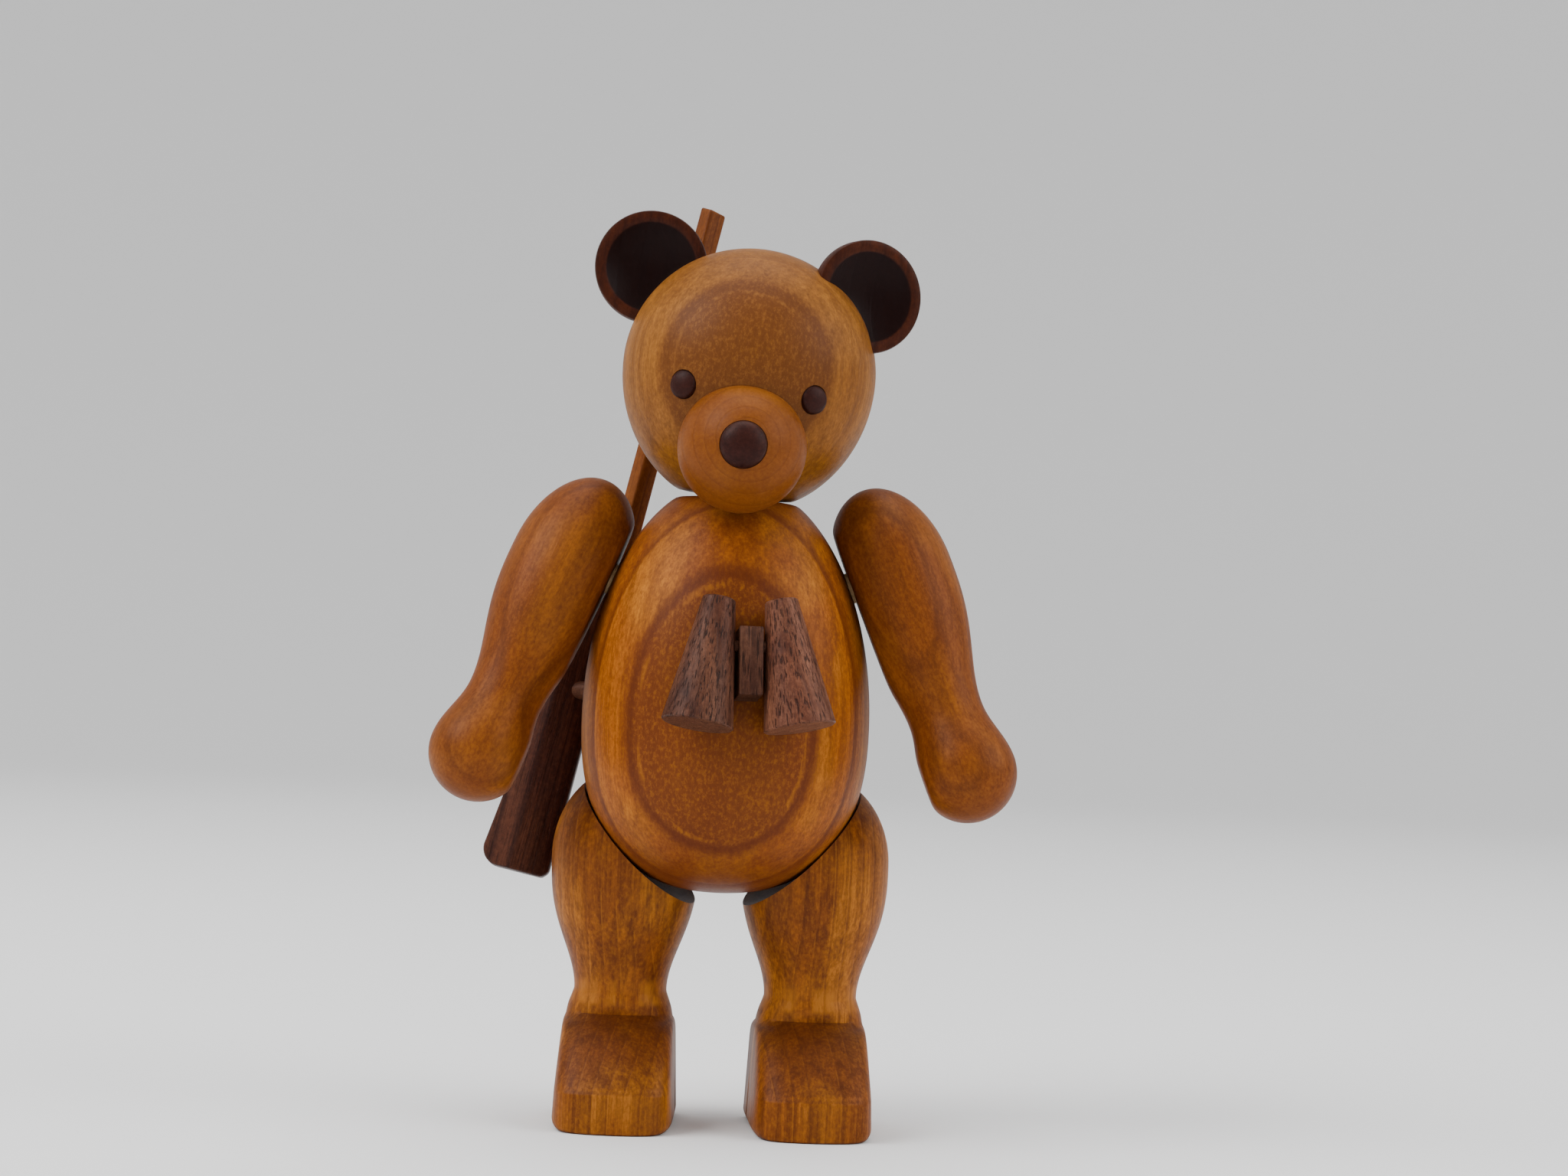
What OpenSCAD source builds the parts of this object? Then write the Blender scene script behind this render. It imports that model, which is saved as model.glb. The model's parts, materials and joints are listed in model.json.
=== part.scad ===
// Jointed turned-wood bear with a binocular on its chest and a rifle behind its right arm.
// Millimetres. +Z is up, the bear faces -Y, +X is the bear's own left, z = 0 is the floor.

/* [Body] */
// Largest radius of the egg-shaped body
body_r = 22.9; // [20:0.1:27.5]
// Height of the body's widest ring above the floor
belly_z = 64.3; // [60:0.1:70]
// Depth of the egg below its widest ring
body_low = 27.2; // [23:0.1:30]
// Fullness of the egg below its widest ring; 2 is an ellipse, more is fuller
belly_full = 2.4; // [2:0.05:2.6]
// Height of the full egg above its widest ring, before the neck is cut flat
body_up = 38.8; // [34:0.1:46]
// Height of the flat neck seat above the widest ring
neck_cut = 35.6; // [30:0.1:37]

/* [Head] */
// Largest radius of the head
head_r = 20.2; // [17:0.1:24]
// Height of the head above its widest ring, and of the flat cut below it, as a share of its radius
head_short = 0.98; // [0.95:0.005:1]
// Depth of the full head below its widest ring, as a share of its radius
head_long = 1.1; // [1.04:0.01:1.2]
// Lean of the neck seat, dowel and head towards the bear's left
head_lean = 4.4; // [0:0.1:8]
// Turn of the head towards the bear's left
head_yaw = 2; // [-5:0.5:5]
// Radius of the neck dowel
neck_pin_r = 3; // [2:0.1:4]
// Depth of the neck dowel in the body and in the head
neck_pin_depth = 10; // [7:0.5:12]

/* [Face] */
// Radius of the muzzle dome
muzzle_r = 10; // [8:0.1:12]
// Length of the muzzle from its flat back to its tip
muzzle_len = 13; // [10:0.1:16]
// Distance of the muzzle's flat back in front of the head's axis, as a share of the head's radius
muzzle_front = 0.693; // [0.62:0.001:0.76]
// Depth of the muzzle's axis below the head's widest ring, as a share of the head's radius
muzzle_down = 0.643; // [0.5:0.001:0.66]
// Radius of the nose plug
nose_r = 3.6; // [2.5:0.1:5]
// How far the domed nose stands out of the muzzle
nose_out = 1.3; // [0.8:0.1:2]
// Radius of the eye pins
eye_r = 2.2; // [1.5:0.1:3.5]
// Distance of each eye from the head's centre plane
eye_x = 10.2; // [7:0.1:12]
// Depth of the eyes below the head's widest ring
eye_drop = 4.3; // [0:0.1:6]
// How far the domed eyes stand out of the head
eye_out = 0.9; // [0.4:0.1:2]

/* [Ears] */
// Radius of the ear discs
ear_r = 9; // [7:0.1:11]
// Thickness of the ear discs
ear_thick = 5; // [4:0.1:6]
// Width of the flat rim round the dished front
ear_rim = 1.5; // [1:0.1:3]
// Depth of the dish
ear_dish = 2.2; // [1:0.1:3]
// Distance of each ear's centre inside the head's largest radius, across the head
ear_in = 2.7; // [1:0.1:4]
// Distance of each ear's centre inside the head's largest radius, in height
ear_down = 5.2; // [4:0.1:8]
// Turn of the left ear towards its side
ear_turn = 20; // [0:1:30]
// Radius of the ear pegs
ear_peg_r = 1.1; // [0.8:0.1:1.2]

/* [Arms] */
// Length of an arm
arm_len = 57.2; // [50:0.1:64]
// Radius of an arm at the shoulder
shoulder_r = 9.5; // [8:0.1:11]
// Distance from the top of an arm to its thickest ring
shoulder_at = 15; // [12:0.5:18]
// Radius of an arm at the wrist
wrist_r = 6.05; // [4.5:0.05:7.5]
// Distance from the top of an arm to its wrist
wrist_at = 39.5; // [36:0.5:42]
// Radius of the ball hand
hand_r = 7.8; // [6.5:0.1:9]
// Distance from an arm's axis to the flat on the inside of its shoulder
shoulder_flat = 7; // [6:0.1:8]
// Height of the shoulder pins' mouths in the body, above the widest ring
shoulder_up = 21.9; // [18:0.1:25]
// Distance from the top of an arm to its pin
shoulder_pin_at = 14.5; // [12:0.5:17]
// Swing of the right arm to the front
swing_right = 19; // [0:1:40]
// Swing of the left arm to the front
swing_left = 17; // [0:1:40]
// Radius of the shoulder and hip pins
limb_pin_r = 2.5; // [1.5:0.1:3]

/* [Legs] */
// Distance of each leg's axis inside its hip pin's mouth
leg_inset = 3; // [1:0.05:4]
// Distance of the legs' axes behind the body's axis
leg_back = 4; // [0:0.5:6]
// Largest radius of a thigh
thigh_r = 11.8; // [10:0.1:12.5]
// Distance of the thigh's thickest ring below its hip pin's mouth
thigh_drop = 3.3; // [2:0.1:6]
// Height of the domed top of a thigh above its thickest ring
thigh_top = 14.3; // [11:0.1:16]
// Radius of an ankle
ankle_r = 7.4; // [6:0.1:8.5]
// Height of an ankle above the floor
ankle_z = 20.8; // [19:0.1:24]
// Depth of the hip pins' mouths in the body, below the widest ring
hip_down = 19; // [17:0.1:20]

/* [Feet] */
// Width of a foot
foot_w = 19.1; // [16:0.1:22]
// Distance from a leg's axis to the front of the toe
toe_y = 20; // [17:0.1:25]
// Distance from a leg's axis to the back of the heel
heel_y = 8.6; // [8:0.1:11]
// Height of the upright front of the toe
toe_h = 7; // [4:0.1:8]
// Radius of a foot's upright edges and of its sole's side edges
foot_round = 1.7; // [1:0.1:3]
// Radius of the bow of the toe's front, seen from above
toe_bow = 13; // [10:0.5:20]
// Toe-out of the left foot
toe_out = 4.5; // [0:0.5:8]

/* [Binocular] */
// Length of each tube
tube_len = 19.8; // [17:0.1:25]
// Radius of a tube at its eye end
tube_eye_r = 2.5; // [2:0.1:3.2]
// Radius of a tube at its far end
tube_far_r = 5.5; // [4.5:0.1:6.5]
// Splay of each tube from the binocular's centre plane
tube_splay = 9; // [6:0.1:12]
// Lean of the tubes, far ends away from the belly
tube_lean = 11; // [8:0.5:15]
// Offset of the binocular towards the bear's left
tube_x = 3.7; // [0:0.1:5]
// Height of the binocular's middle above the body's widest ring
tube_z = 9.7; // [6:0.1:14]
// Width of the bridge between the tubes
bridge_w = 3.65; // [3:0.05:4.5]
// Height of the bridge
bridge_h = 10.5; // [8:0.1:13]

/* [Rifle] */
// Side of the square barrel stick
barrel_side = 3.3; // [2.5:0.1:4]
// Length of the barrel in front of the stock
barrel_len = 62; // [50:0.5:70]
// Length of the stock
stock_len = 53.5; // [45:0.5:58]
// Width of the stock at its butt
butt_w = 11.4; // [9:0.1:13]
// Width of the stock where the barrel enters it
stock_neck_w = 6; // [5:0.1:7]
// Sideways lean of the rifle from upright, muzzle towards the head
rifle_lean = 12.2; // [8:0.1:15]
// Lean of the rifle to the back, muzzle away from the shoulder
rifle_back = 8; // [4:0.1:12]
// Radius of the dowel that holds the rifle to the body
rifle_peg_r = 1.5; // [1:0.1:2]

/* [Fits] */
// Radial clearance of a pin that turns in its bore
run_gap = 0.05; // [0.02:0.01:0.1]
// Gap between faces that turn past each other
face_gap = 0.3; // [0.2:0.05:0.5]

/* [Hidden] */
$fn = 64;

// Colours of the woods
honey = "#9c6230";
amber = "#96501e";
warm = "#b06c34";
dark = "#3c2220";
walnut = "#5f463e";
stick = "#96602f";
dowel = "#c79a62";

// Points nearer to the axis than this are left out of a turned profile, which closes on the axis itself
on_axis = 0.01;
// Points on a quarter ellipse, from angle a0 to a1
quarter_steps = 18;
function arc(rx, rz, a0, a1, z0 = 0) =
    [for (i = [0 : quarter_steps]) let (a = a0 + (a1 - a0) * i / quarter_steps) [rx * cos(a), z0 + rz * sin(a)]];
// Points on a quarter of a fuller curve, from its end on the axis to its widest ring
function full_arc(rx, rz, full) =
    [for (i = [0 : quarter_steps]) let (a = 90 - 90 * i / quarter_steps) [rx * pow(cos(a), 2 / full), rz * pow(sin(a), 2 / full)]];
// Radius of an ellipse of revolution at height h from its widest ring
function egg_r(r, semi, h) = r * sqrt(1 - pow(h / semi, 2));
// Smooth step from 0 to 1, slow at both ends
function ease(t) = (1 - cos(180 * t)) / 2;

// The egg body's profile, flat at the neck
neck_angle = asin(neck_cut / body_up);
neck_z = belly_z + neck_cut;
head_up = head_r * head_short;
head_cut = head_r * head_short;
head_low = head_r * head_long;

// The whole bear stands a little back, so that the origin is under the middle of its box
module place() {
    translate([0, stand_back, 0]) children();
}

// The bear leans its head about the middle of the neck seat
module at_head() {
    translate([0, 0, neck_z]) rotate([0, head_lean, 0]) rotate([0, 0, head_yaw])
        translate([0, 0, face_gap + head_cut]) children();
}

// Left and right limbs mirror each other: side is 1 for the bear's left, -1 for its right
// Shoulder: the pin stands square to the egg's surface
shoulder_x = egg_r(body_r, body_up, shoulder_up);
shoulder_rise = atan2(shoulder_up / pow(body_up, 2), shoulder_x / pow(body_r, 2));
shoulder_bore = 10;
shoulder_pin_in_arm = 8;
module at_shoulder(side) {
    mirror([side > 0 ? 0 : 1, 0, 0])
        translate([shoulder_x, 0, belly_z + shoulder_up]) rotate([0, -shoulder_rise, 0]) children();
}

// Hip: the pin stands square to the egg's surface, outwards and down
hip_x = body_r * pow(1 - pow(hip_down / body_low, belly_full), 1 / belly_full);
hip_fall = atan2(pow(hip_down, belly_full - 1) / pow(body_low, belly_full),
    pow(hip_x, belly_full - 1) / pow(body_r, belly_full));
hip_z = belly_z - hip_down;
hip_bore = 10;
hip_pin_in_leg = 6.5;
leg_x = hip_x - leg_inset;
thigh_z = hip_z - thigh_drop;
// The hollow in the thigh is round about the hip pin and a little flatter than the egg there
seat_ease = 1;
seat_r = (body_r + body_low) / 2 + seat_ease;
module at_hip(side) {
    mirror([side > 0 ? 0 : 1, 0, 0])
        translate([hip_x, 0, hip_z]) rotate([0, hip_fall, 0]) children();
}

// A cylinder along +X, from x0 to x1
module rod(r, x0, x1) {
    translate([x0, 0, 0]) rotate([0, 90, 0]) cylinder(r = r, h = x1 - x0);
}

// Body
module body_solid() {
    rotate_extrude()
        polygon(concat([[0, belly_z - body_low]],
            [for (p = full_arc(body_r, body_low, belly_full)) if (p[0] > on_axis) [p[0], belly_z - p[1]]],
            [for (i = [1 : quarter_steps]) let (a = neck_angle * i / quarter_steps)
                [body_r * cos(a), belly_z + body_up * sin(a)]],
            [[0, neck_z]]));
}
module body() {
    color(amber) place() difference() {
        body_solid();
        // Neck seat, square to the leaning neck dowel
        translate([0, 0, neck_z]) rotate([0, head_lean, 0]) cylinder(r = body_r, h = body_r);
        translate([0, 0, neck_z]) rotate([0, head_lean, 0])
            translate([0, 0, -neck_pin_depth]) cylinder(r = neck_pin_r + run_gap, h = 2 * neck_pin_depth);
        for (side = [-1, 1]) {
            at_shoulder(side) rod(limb_pin_r + run_gap, -shoulder_bore, shoulder_bore);
            at_hip(side) rod(limb_pin_r + run_gap, -hip_bore, hip_bore);
        }
        at_bridge() peg_rod(binocular_peg_r);
        at_rifle_peg() rod(rifle_peg_r, rifle_peg_in, body_r);
    }
}

// Head, glued to the top of the neck dowel
module head_profile() {
    rotate_extrude()
        polygon(concat([[0, -head_cut]],
            [for (i = [0 : quarter_steps - 1]) let (a = -asin(head_cut / head_low) * (1 - i / quarter_steps))
                [head_r * cos(a), head_low * sin(a)]],
            [for (p = arc(head_r, head_up, 0, 90)) if (p[0] > on_axis) p],
            [[0, head_up]]));
}
muzzle_drop = head_r * muzzle_down;
// The muzzle's lowest edge stays in front of the chest, however wide the body is
muzzle_clear = 0.8;
muzzle_back = max(head_r * muzzle_front,
    muzzle_clear + egg_r(body_r, body_up, neck_cut + face_gap + head_cut - muzzle_drop - muzzle_r));
eye_depth = 7;
eye_y = egg_r(head_r, head_low, eye_drop);
eye_face_y = sqrt(pow(eye_y, 2) - pow(eye_x, 2));
muzzle_peg_r = 2;
muzzle_peg_depth = 6;
module at_eye(side) {
    translate([side * eye_x, -eye_face_y, -eye_drop]) rotate([90, 0, side * atan(eye_x / eye_face_y)]) children();
}
module at_muzzle() {
    translate([0, -muzzle_back, -muzzle_drop]) rotate([90, 0, 0]) children();
}
module neck_dowel() {
    color(dowel) place() translate([0, 0, neck_z]) rotate([0, head_lean, 0])
        translate([0, 0, -neck_pin_depth + face_gap])
            cylinder(r = neck_pin_r, h = 2 * neck_pin_depth);
}
module head() {
    color(honey) place() at_head() difference() {
        head_profile();
        // Neck bore
        translate([0, 0, -head_cut - 1]) cylinder(r = neck_pin_r, h = 1 + neck_pin_depth);
        // Flat seat of the muzzle, and its peg's bore
        at_muzzle() cylinder(r = muzzle_r, h = muzzle_len);
        at_muzzle() translate([0, 0, -muzzle_peg_depth]) cylinder(r = muzzle_peg_r, h = muzzle_peg_depth + 1);
        for (side = [-1, 1]) {
            at_eye(side) translate([0, 0, -eye_depth]) cylinder(r = eye_r, h = 2 * eye_depth);
            ear_peg_rod(side);
        }
    }
}

// Muzzle: a turned dome whose axis points to the front
muzzle_edge = 2.2;
muzzle_chamfer = 0.5;
function muzzle_h(r) = muzzle_edge + (muzzle_len - muzzle_edge) * sqrt(1 - pow(r / muzzle_r, 2));
nose_depth = 6;
nose_tip = muzzle_len - nose_depth;
module muzzle_dome() {
    rotate_extrude() polygon(concat([[0, 0], [muzzle_r - muzzle_chamfer, 0], [muzzle_r, muzzle_chamfer]],
        [for (p = arc(muzzle_r, muzzle_len - muzzle_edge, 0, 90, muzzle_edge)) if (p[0] > on_axis) p],
        [[0, muzzle_len]]));
}
module muzzle() {
    color(warm) place() at_head() at_muzzle() difference() {
        muzzle_dome();
        translate([0, 0, nose_tip]) cylinder(r = nose_r, h = nose_depth + 1);
        translate([0, 0, -1]) cylinder(r = muzzle_peg_r, h = nose_tip);
    }
}
module muzzle_peg() {
    color(dowel) place() at_head() at_muzzle() translate([0, 0, -muzzle_peg_depth])
        cylinder(r = muzzle_peg_r, h = muzzle_peg_depth + nose_tip - 1);
}
// A dowel with a domed outer end, seated at z = 0 of its hole
module domed_pin(r, straight, dome) {
    rotate_extrude() polygon(concat([[0, 0], [r, 0]],
        [for (p = arc(r, dome, 0, 90, straight)) if (p[0] > on_axis) p],
        [[0, straight + dome]]));
}
module nose_plug() {
    color(dark) place() at_head() at_muzzle() translate([0, 0, nose_tip])
        domed_pin(nose_r, muzzle_h(nose_r) - nose_tip, muzzle_len + nose_out - muzzle_h(nose_r));
}
// The muzzle's edge is let into the eye pins where it passes them
module eye_pin(side) {
    color(dark) place() at_head() difference() {
        at_eye(side) translate([0, 0, -eye_depth]) domed_pin(eye_r, eye_depth, eye_out);
        at_muzzle() muzzle_dome();
    }
}
module eye_pin_left() { eye_pin(1); }
module eye_pin_right() { eye_pin(-1); }

// Ears: dished discs hollowed to sit on the round head, each held by a peg in its plane
ear_x = head_r - ear_in;
ear_z = head_r - ear_down;
ear_back_round = 0.55;
ear_chamfer = 0.5;
ear_left_front = 5;
ear_right_front = 0.5;
// The left ear sits this much lower than the right one
ear_left_drop = 1.1;
ear_peg_in = 7;
ear_peg_out = 1.5;
ear_peg_deep = (ear_dish + ear_thick) / 2;
ear_seat = norm([ear_x, ear_z]) - head_r;
function ear_front(side) = side > 0 ? ear_left_front : ear_right_front;
function ear_height(side) = side > 0 ? ear_z - ear_left_drop : ear_z;
module at_ear(side) {
    translate([side * ear_x, -ear_front(side), ear_height(side)])
        rotate([0, 0, side > 0 ? ear_turn : 0]) rotate([90, 0, 0]) children();
}
module ear_peg_rod(side) {
    at_ear(side) translate([0, 0, -ear_peg_deep]) rotate([0, 0, atan2(ear_height(side), side * ear_x)])
        rod(ear_peg_r, -ear_seat - ear_peg_in, ear_peg_out);
}
module ear_disc() {
    back_round = ear_thick * ear_back_round;
    rotate_extrude() polygon(concat(
        [[0, -ear_thick]],
        [for (p = arc(ear_r, back_round, -90, 0, back_round - ear_thick)) if (p[0] > on_axis) p],
        [[ear_r, -ear_chamfer], [ear_r - ear_chamfer, 0], [ear_r - ear_rim, 0]],
        [for (i = [1 : quarter_steps - 1]) let (u = 1 - i / quarter_steps)
            [(ear_r - ear_rim) * u, -ear_dish * (1 - u * u)]],
        [[0, -ear_dish]]));
}
module ear(side) {
    color(dark) place() at_head() difference() {
        at_ear(side) ear_disc();
        sphere(head_r);
        ear_peg_rod(side);
    }
}
module ear_peg(side) {
    color(dowel) place() at_head() ear_peg_rod(side);
}
module ear_left() { ear(1); }
module ear_right() { ear(-1); }
module ear_peg_left() { ear_peg(1); }
module ear_peg_right() { ear_peg(-1); }

// Arms: turned, with the inside of the shoulder cut flat
arm_steps = 14;
arm_shape = 1.4;
function arm_taper(t) = shoulder_r - (shoulder_r - wrist_r) * ease(pow(t, arm_shape));
hand_at = arm_len - hand_r;
function hand_swell(t) = wrist_r + (hand_r - wrist_r) * ease(t);
module arm_turned() {
    // Top of the arm at z = 0, hand downwards
    rotate_extrude() polygon(concat(
        [[0, 0]],
        [for (p = arc(shoulder_r, shoulder_at, 90, 0, -shoulder_at)) if (p[0] > on_axis) p],
        [for (i = [1 : arm_steps]) let (t = i / arm_steps) [arm_taper(t), -shoulder_at - (wrist_at - shoulder_at) * t]],
        [for (i = [1 : arm_steps - 1]) let (t = i / arm_steps) [hand_swell(t), -wrist_at - (hand_at - wrist_at) * t]],
        [for (p = arc(hand_r, hand_r, 0, -90, -hand_at)) if (p[0] > on_axis) p],
        [[0, -arm_len]]));
}
module arm(side) {
    swing = side > 0 ? swing_left : swing_right;
    color(amber) place() at_shoulder(side) difference() {
        // The swing turns about the pin; the arm's axis hangs square to it
        rotate([-swing, 0, 0]) translate([face_gap + shoulder_flat, 0, shoulder_pin_at]) arm_turned();
        translate([face_gap - 4 * shoulder_r, -arm_len, -arm_len]) cube([4 * shoulder_r, 2 * arm_len, 2 * arm_len]);
        rod(limb_pin_r, -1, shoulder_pin_in_arm);
    }
}
module shoulder_pin(side) {
    color(dowel) place() at_shoulder(side) rod(limb_pin_r, face_gap - shoulder_bore, shoulder_pin_in_arm);
}
module arm_left() { arm(1); }
module arm_right() { arm(-1); }
module shoulder_pin_left() { shoulder_pin(1); }
module shoulder_pin_right() { shoulder_pin(-1); }

// Legs: a turned thigh and shin with the foot left square below the ankle
leg_steps = 14;
leg_shape = 1.4;
function leg_taper(t) = thigh_r - (thigh_r - ankle_r) * ease(pow(t, leg_shape));
flare = 4.3;
turned_into_foot = 9;
leg_foot_z = ankle_z - turned_into_foot;
module leg_turned() {
    rotate_extrude() polygon(concat(
        [[0, thigh_z + thigh_top]],
        [for (p = arc(thigh_r, thigh_top, 90, 0, thigh_z)) if (p[0] > on_axis) p],
        [for (i = [1 : leg_steps]) let (t = i / leg_steps) [leg_taper(t), thigh_z - (thigh_z - ankle_z) * t]],
        [[ankle_r, leg_foot_z], [0, leg_foot_z]]));
}
module foot_sides() {
    // Seen from the front: upright sides, rounded towards the sole
    translate([0, 2 * toe_y, 0]) rotate([90, 0, 0]) linear_extrude(4 * toe_y) {
        translate([-foot_w / 2, foot_round]) square([foot_w, ankle_z]);
        translate([-foot_w / 2 + foot_round, 0]) square([foot_w - 2 * foot_round, ankle_z]);
        for (side = [-1, 1]) translate([side * (foot_w / 2 - foot_round), foot_round]) circle(foot_round);
    }
}
instep_steps = 8;
instep_shape = 1.35;
instep_below_ankle = 3.5;
instep_top = ankle_z - instep_below_ankle;
toe_soft = 1;
module foot_outline() {
    // Seen from the side: flat sole, upright toe, domed instep and a heel that slopes in
    rotate([90, 0, 90]) linear_extrude(2 * foot_w, center = true) polygon(concat(
        [[heel_y, 0], [-toe_y, 0], [-toe_y, toe_h - toe_soft]],
        [for (i = [instep_steps : -1 : 0]) let (t = i / instep_steps)
            [-ankle_r - (toe_y - toe_soft - ankle_r) * t, toe_h + (instep_top - toe_h) * (1 - pow(t, instep_shape))]],
        [[-ankle_r, ankle_z], [ankle_r, ankle_z], [heel_y, ankle_z - flare]]));
}
bell_foot = 1.6;
bell_hollow = 0.4;
module foot_bell() {
    // The lathe's shoulder between the round ankle and the square foot
    rotate_extrude() polygon([[0, 0], [2 * toe_y, 0], [2 * toe_y, toe_h],
        [foot_w / 2 + flare, ankle_z - bell_foot * flare], [foot_w / 2, ankle_z - flare],
        [(foot_w / 2 + ankle_r) / 2 - bell_hollow, ankle_z - flare / 2], [ankle_r, ankle_z], [0, ankle_z]]);
}
module foot_plan() {
    // Seen from above: the front of the toe is bowed
    linear_extrude(ankle_z) union() {
        translate([0, toe_bow - toe_y]) circle(toe_bow);
        translate([-foot_w, toe_bow - toe_y]) square([2 * foot_w, 2 * toe_y]);
    }
}
module foot() {
    intersection() {
        foot_sides();
        foot_outline();
        foot_bell();
        foot_plan();
    }
}
module leg(side) {
    color(amber) place() difference() {
        translate([side * leg_x, leg_back, 0]) rotate([0, 0, side > 0 ? toe_out : 0]) {
            leg_turned();
            foot();
        }
        at_hip(side) translate([-seat_r, 0, 0]) sphere(seat_r + face_gap);
        at_hip(side) rod(limb_pin_r, -1, hip_pin_in_leg);
    }
}
module hip_pin(side) {
    color(dowel) place() at_hip(side) rod(limb_pin_r, face_gap - hip_bore, hip_pin_in_leg);
}
module leg_left() { leg(1); }
module leg_right() { leg(-1); }
module hip_pin_left() { hip_pin(1); }
module hip_pin_right() { hip_pin(-1); }

// Binocular: two tapered tubes pinned to a bridge, and the bridge pegged to the belly
tube_clear = 0.55;
bridge_gap = 0.4;
bridge_front = 2.2;
bridge_depth = 9;
tube_mid_r = (tube_eye_r + tube_far_r) / 2;
tube_mid_x = bridge_w / 2 + bridge_gap + tube_mid_r / cos(tube_splay);
tube_far_x = tube_mid_x + tube_len / 2 * sin(tube_splay);
tube_far_y = sqrt(pow(body_r + tube_far_r + tube_clear, 2) - pow(tube_far_x, 2));
tube_mid_y = tube_far_y - tube_len / 2 * sin(tube_lean);
binocular_turn = asin(tube_x / tube_mid_y);
binocular_peg_r = 1.2;
binocular_peg_at = -2.5;
binocular_peg_depth = 9;
crosspin_r = 0.9;
crosspin_at = 2.5;
crosspin_half = tube_mid_x;
module at_bridge() {
    rotate([0, 0, binocular_turn]) translate([0, -tube_mid_y, belly_z + tube_z]) rotate([-tube_lean, 0, 0]) children();
}
// The peg runs square to the bridge, from inside it into the belly
module peg_rod(r) {
    translate([0, 0, binocular_peg_at]) rotate([-90, 0, 0]) cylinder(r = r, h = binocular_peg_depth);
}
module crosspin_rod() {
    translate([0, 0, crosspin_at]) rod(crosspin_r, -crosspin_half, crosspin_half);
}
module binocular_tube(side) {
    color(walnut) place() at_bridge() difference() {
        translate([side * tube_mid_x, 0, 0]) rotate([0, -side * tube_splay, 0]) translate([0, 0, -tube_len / 2])
            cylinder(r1 = tube_far_r, r2 = tube_eye_r, h = tube_len);
        crosspin_rod();
    }
}
module binocular_tube_left() { binocular_tube(1); }
module binocular_tube_right() { binocular_tube(-1); }
module binocular_bridge() {
    color(walnut) place() difference() {
        at_bridge() translate([-bridge_w / 2, -bridge_front, -bridge_h / 2]) cube([bridge_w, bridge_depth, bridge_h]);
        body_solid();
        at_bridge() crosspin_rod();
        at_bridge() peg_rod(binocular_peg_r);
    }
}
module binocular_crosspin() {
    color(dowel) place() at_bridge() crosspin_rod();
}
module binocular_peg() {
    color(dowel) place() at_bridge() peg_rod(binocular_peg_r);
}

// Rifle: a square stick let into a flat stock, and the stock pegged to the body's back
rifle_in = 3.5;
rifle_behind = 8.7;
rifle_up = 25;
rifle_x = body_r - rifle_in;
rifle_y = shoulder_r + rifle_behind;
rifle_z = belly_z + rifle_up;
barrel_turn = 35;
// The tubes reach as far in front of the origin as the rifle's muzzle reaches behind it
rifle_reach = rifle_y + barrel_len * sin(rifle_back) + barrel_side / sqrt(2);
stand_back = (tube_far_y + tube_far_r + face_gap - rifle_reach) / 2;
tenon_len = 8;
tenon_r = 1.2;
stock_half = 3.2;
stock_inner = 1.9;
butt_round = 3;
butt_chamfer = 1;
neck_ease = 0.8;
neck_ease_len = 3;
ridge_x = -4.6;
ridge_fall = 0.6;
module at_rifle() {
    translate([-rifle_x, rifle_y, rifle_z]) rotate([-rifle_back, rifle_lean, 0]) children();
}
module rifle_barrel() {
    color(stick) place() at_rifle() {
        rotate([0, 0, barrel_turn]) translate([-barrel_side / 2, -barrel_side / 2, 0])
            cube([barrel_side, barrel_side, barrel_len]);
        translate([0, 0, -tenon_len]) cylinder(r = tenon_r, h = tenon_len + 1);
    }
}
// Seen from the front: the inner edge is straight, the outer edge widens to the butt
module stock_outline() {
    translate([0, 2 * stock_half, 0]) rotate([90, 0, 0]) linear_extrude(4 * stock_half) polygon(concat(
        [[stock_inner, 0], [stock_inner - stock_neck_w * neck_ease, 0], [stock_inner - stock_neck_w, -neck_ease_len]],
        [for (i = [0 : 6]) let (a = 180 + 15 * i)
            [stock_inner - butt_w + butt_round * (1 + cos(a)), -stock_len + butt_round * (1 + sin(a))]],
        [[stock_inner - butt_chamfer, -stock_len], [stock_inner, -stock_len + butt_chamfer]]));
}
// Cross-section with a ridge along the front
module stock_section() {
    translate([0, 0, -stock_len - 1]) linear_extrude(stock_len + 2) polygon([
        [ridge_x, -stock_half], [stock_inner + 1, 0], [stock_inner + 1, stock_half],
        [stock_inner - butt_w - 1, stock_half], [stock_inner - butt_w - 1, -ridge_fall]]);
}
// Distance along the stock from its neck to its peg
rifle_peg_at = 22;
// The peg ends on the stock's middle line and starts this deep in the body
rifle_peg_inset = 8.7;
rifle_peg_in = body_r - rifle_peg_inset;
stock_middle = 1.5;
module at_rifle_peg() {
    // The peg points from the body's axis straight out to the stock
    translate([0, 0, peg_z]) rotate([0, 0, 180 - peg_angle]) children();
}
peg_z = rifle_z - rifle_peg_at * cos(rifle_back) * cos(rifle_lean);
peg_x = rifle_x + rifle_peg_at * cos(rifle_back) * sin(rifle_lean) + stock_middle;
peg_y = rifle_y - rifle_peg_at * sin(rifle_back);
peg_angle = atan2(peg_y, peg_x);
peg_out = norm([peg_x, peg_y]);
module rifle_stock() {
    color(dark) place() difference() {
        at_rifle() intersection() {
            stock_outline();
            stock_section();
        }
        at_rifle() translate([0, 0, -tenon_len]) cylinder(r = tenon_r, h = tenon_len + 1);
        at_rifle_peg() rod(rifle_peg_r, rifle_peg_in, peg_out);
    }
}
module rifle_peg() {
    color(dowel) place() at_rifle_peg() rod(rifle_peg_r, rifle_peg_in, peg_out);
}

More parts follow.
